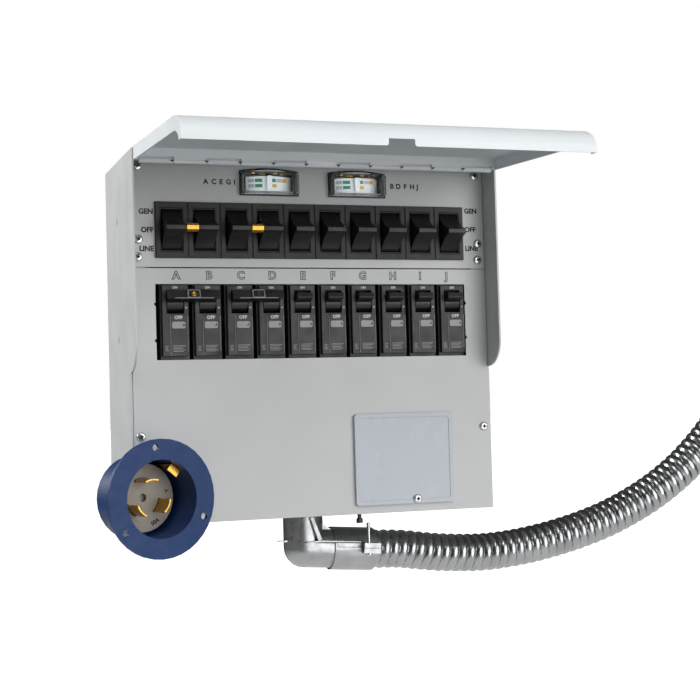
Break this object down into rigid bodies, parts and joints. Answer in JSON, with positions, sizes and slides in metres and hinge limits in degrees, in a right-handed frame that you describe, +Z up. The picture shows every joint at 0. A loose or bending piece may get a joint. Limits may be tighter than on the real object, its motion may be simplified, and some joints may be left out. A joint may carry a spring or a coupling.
{
  "type": "manual transfer switch",
  "caption": "Wall-hung manual transfer switch: sheet-steel cabinet with rocker switches, breakers, two panel meters, hinged lid, flexible conduit whip and flanged locking inlet.",
  "frame": {"origin": "centre of the cabinet's back, on the wall", "axes": "+Y into the wall (the front faces -Y), +Z up, +X to the right as seen from the front"},
  "size_m": [0.6985, 0.3334, 0.3831],
  "materials": {
    "cabinet_paint": "satin light grey baked enamel",
    "lid_paint": "satin off-white baked enamel",
    "plate_paint": "glossy pale blue-grey",
    "zinc": "bright zinc plate",
    "galvanised": "bright galvanised strip",
    "diecast": "as-cast satin",
    "black_plastic": "satin black",
    "bezel_plastic": "fine-grained black",
    "breaker_plastic": "fine-grained charcoal",
    "clear_plastic": "clear polished plastic",
    "dial_white": "matte white with printed scales",
    "brass": "bright brass",
    "inlet_blue": "moulded blue",
    "insert_beige": "matte beige-grey"
  },
  "bodies": {
    "cabinet": {"cabinet_box": "cabinet_paint", "upper_panel": "cabinet_paint", "lower_panel": "cabinet_paint", "access_plate": "plate_paint", "hinge_leaf": "zinc", "hinge_pin": "zinc", "breaker_rail": "zinc", "switch_bank": "bezel_plastic", "breaker_a": "breaker_plastic", "breaker_b": "breaker_plastic", "breaker_c": "breaker_plastic", "breaker_d": "breaker_plastic", "breaker_e": "breaker_plastic", "breaker_f": "breaker_plastic", "breaker_g": "breaker_plastic", "breaker_h": "breaker_plastic", "breaker_i": "breaker_plastic", "breaker_j": "breaker_plastic", "meter_left_case": "dial_white", "meter_left_lens": "clear_plastic", "meter_right_case": "dial_white", "meter_right_lens": "clear_plastic", "elbow_body": "diecast", "elbow_cap": "diecast", "elbow_locknut": "zinc", "conduit": "galvanised", "whip_connector": "diecast"},
    "lid": {"lid": "lid_paint"},
    "rockers_ab": {"rocker_a": "black_plastic", "rocker_b": "black_plastic", "rocker_tie_ab": "brass"},
    "rockers_cd": {"rocker_c": "black_plastic", "rocker_d": "black_plastic", "rocker_tie_cd": "brass"},
    "rocker_e": {"rocker_e": "black_plastic"},
    "rocker_f": {"rocker_f": "black_plastic"},
    "rocker_g": {"rocker_g": "black_plastic"},
    "rocker_h": {"rocker_h": "black_plastic"},
    "rocker_i": {"rocker_i": "black_plastic"},
    "rocker_j": {"rocker_j": "black_plastic"},
    "breaker_handles_ab": {"breaker_handle_a": "black_plastic", "breaker_handle_b": "black_plastic", "handle_tie_ab": "black_plastic"},
    "breaker_handles_cd": {"breaker_handle_c": "black_plastic", "breaker_handle_d": "black_plastic", "handle_tie_cd": "black_plastic"},
    "breaker_handle_e": {"breaker_handle_e": "black_plastic"},
    "breaker_handle_f": {"breaker_handle_f": "black_plastic"},
    "breaker_handle_g": {"breaker_handle_g": "black_plastic"},
    "breaker_handle_h": {"breaker_handle_h": "black_plastic"},
    "breaker_handle_i": {"breaker_handle_i": "black_plastic"},
    "breaker_handle_j": {"breaker_handle_j": "black_plastic"},
    "meter_left_needle": {"meter_left_needle": "black_plastic"},
    "meter_right_needle": {"meter_right_needle": "black_plastic"},
    "inlet": {"inlet_housing": "inlet_blue", "inlet_insert": "insert_beige", "inlet_blade_top": "brass", "inlet_blade_right": "brass", "inlet_blade_left": "brass", "inlet_ground_clip": "brass"}
  },
  "joints": [
    {"name": "lid_hinge", "type": "hinge", "parent": "cabinet", "child": "lid", "pos_m": [0, -0.1419, 0.1482], "axis": [1, 0, 0], "range_deg": [-2.8, 87.2]},
    {"name": "rocker_ab_turn", "type": "hinge", "parent": "cabinet", "child": "rockers_ab", "pos_m": [-0.1144, -0.1136, 0.0932], "axis": [1, 0, 0], "range_deg": [-18, 18]},
    {"name": "rocker_cd_turn", "type": "hinge", "parent": "cabinet", "child": "rockers_cd", "pos_m": [-0.0572, -0.1136, 0.0932], "axis": [1, 0, 0], "range_deg": [-18, 18]},
    {"name": "rocker_e_turn", "type": "hinge", "parent": "cabinet", "child": "rocker_e", "pos_m": [-0.0143, -0.1136, 0.0932], "axis": [1, 0, 0], "range_deg": [-18, 18]},
    {"name": "rocker_f_turn", "type": "hinge", "parent": "cabinet", "child": "rocker_f", "pos_m": [0.0143, -0.1136, 0.0932], "axis": [1, 0, 0], "range_deg": [-18, 18]},
    {"name": "rocker_g_turn", "type": "hinge", "parent": "cabinet", "child": "rocker_g", "pos_m": [0.0429, -0.1136, 0.0932], "axis": [1, 0, 0], "range_deg": [-18, 18]},
    {"name": "rocker_h_turn", "type": "hinge", "parent": "cabinet", "child": "rocker_h", "pos_m": [0.0715, -0.1136, 0.0932], "axis": [1, 0, 0], "range_deg": [-18, 18]},
    {"name": "rocker_i_turn", "type": "hinge", "parent": "cabinet", "child": "rocker_i", "pos_m": [0.1001, -0.1136, 0.0932], "axis": [1, 0, 0], "range_deg": [-18, 18]},
    {"name": "rocker_j_turn", "type": "hinge", "parent": "cabinet", "child": "rocker_j", "pos_m": [0.1287, -0.1136, 0.0932], "axis": [1, 0, 0], "range_deg": [-18, 18]},
    {"name": "breaker_ab_throw", "type": "hinge", "parent": "cabinet", "child": "breaker_handles_ab", "pos_m": [-0.1124, -0.1054, 0.031], "axis": [1, 0, 0], "range_deg": [0, 34]},
    {"name": "breaker_cd_throw", "type": "hinge", "parent": "cabinet", "child": "breaker_handles_cd", "pos_m": [-0.0552, -0.1054, 0.031], "axis": [1, 0, 0], "range_deg": [0, 34]},
    {"name": "breaker_e_throw", "type": "hinge", "parent": "cabinet", "child": "breaker_handle_e", "pos_m": [-0.0123, -0.1054, 0.031], "axis": [1, 0, 0], "range_deg": [0, 34]},
    {"name": "breaker_f_throw", "type": "hinge", "parent": "cabinet", "child": "breaker_handle_f", "pos_m": [0.0163, -0.1054, 0.031], "axis": [1, 0, 0], "range_deg": [0, 34]},
    {"name": "breaker_g_throw", "type": "hinge", "parent": "cabinet", "child": "breaker_handle_g", "pos_m": [0.0449, -0.1054, 0.031], "axis": [1, 0, 0], "range_deg": [0, 34]},
    {"name": "breaker_h_throw", "type": "hinge", "parent": "cabinet", "child": "breaker_handle_h", "pos_m": [0.0735, -0.1054, 0.031], "axis": [1, 0, 0], "range_deg": [0, 34]},
    {"name": "breaker_i_throw", "type": "hinge", "parent": "cabinet", "child": "breaker_handle_i", "pos_m": [0.1021, -0.1054, 0.031], "axis": [1, 0, 0], "range_deg": [0, 34]},
    {"name": "breaker_j_throw", "type": "hinge", "parent": "cabinet", "child": "breaker_handle_j", "pos_m": [0.1307, -0.1054, 0.031], "axis": [1, 0, 0], "range_deg": [0, 34]},
    {"name": "meter_left_swing", "type": "hinge", "parent": "cabinet", "child": "meter_left_needle", "pos_m": [-0.0408, -0.0796, 0.1362], "axis": [0, 0, 1], "range_deg": [-24, 24], "stiffness_Nm_per_rad": 0.0002},
    {"name": "meter_right_swing", "type": "hinge", "parent": "cabinet", "child": "meter_right_needle", "pos_m": [0.0408, -0.0796, 0.1362], "axis": [0, 0, 1], "range_deg": [-24, 24], "stiffness_Nm_per_rad": 0.0002},
    {"name": "inlet_slide", "type": "slide", "parent": "cabinet", "child": "inlet", "axis": [0.3156, -0.9489, 0], "range_m": [0, 0.06]}
  ]
}
